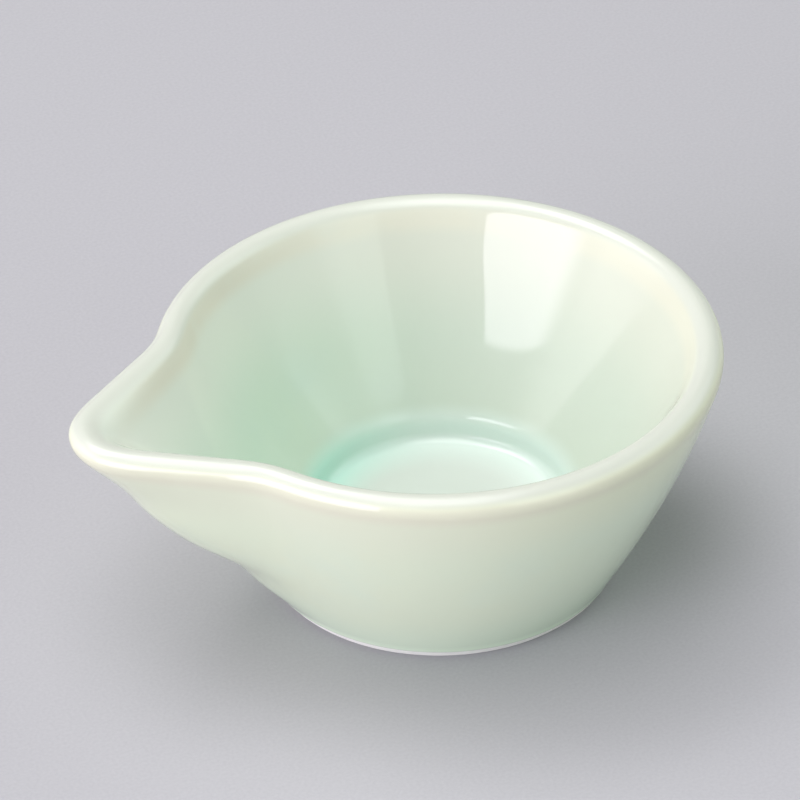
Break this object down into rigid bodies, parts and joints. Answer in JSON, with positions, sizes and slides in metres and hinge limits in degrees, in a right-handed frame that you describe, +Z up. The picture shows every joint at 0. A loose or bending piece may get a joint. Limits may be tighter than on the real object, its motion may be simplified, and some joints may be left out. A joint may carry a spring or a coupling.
{
  "type": "spouted bowl",
  "caption": "Small round porcelain bowl with one broad pouring spout, a shallow well in its floor and a low foot ring, in pale celadon glaze.",
  "frame": {"origin": "on the table, under the middle of the bowl's box, which is 6.8 mm from the round wall's axis towards the spout", "axes": "+Z up out of the bowl, -X along the spout's centre line towards its tip, +Y across"},
  "size_m": [0.0856, 0.072, 0.0331],
  "materials": {
    "bare_porcelain": "bare fired porcelain, matt",
    "celadon_inside": "glossy celadon glaze, deeper in the well",
    "celadon_outside": "glossy celadon glaze, cream on the rim",
    "celadon_base": "glossy celadon glaze"
  },
  "bodies": {
    "root": {"porcelain_body": "bare_porcelain", "inner_glaze": "celadon_inside", "outer_glaze": "celadon_outside", "base_glaze": "celadon_base"}
  },
  "joints": []
}
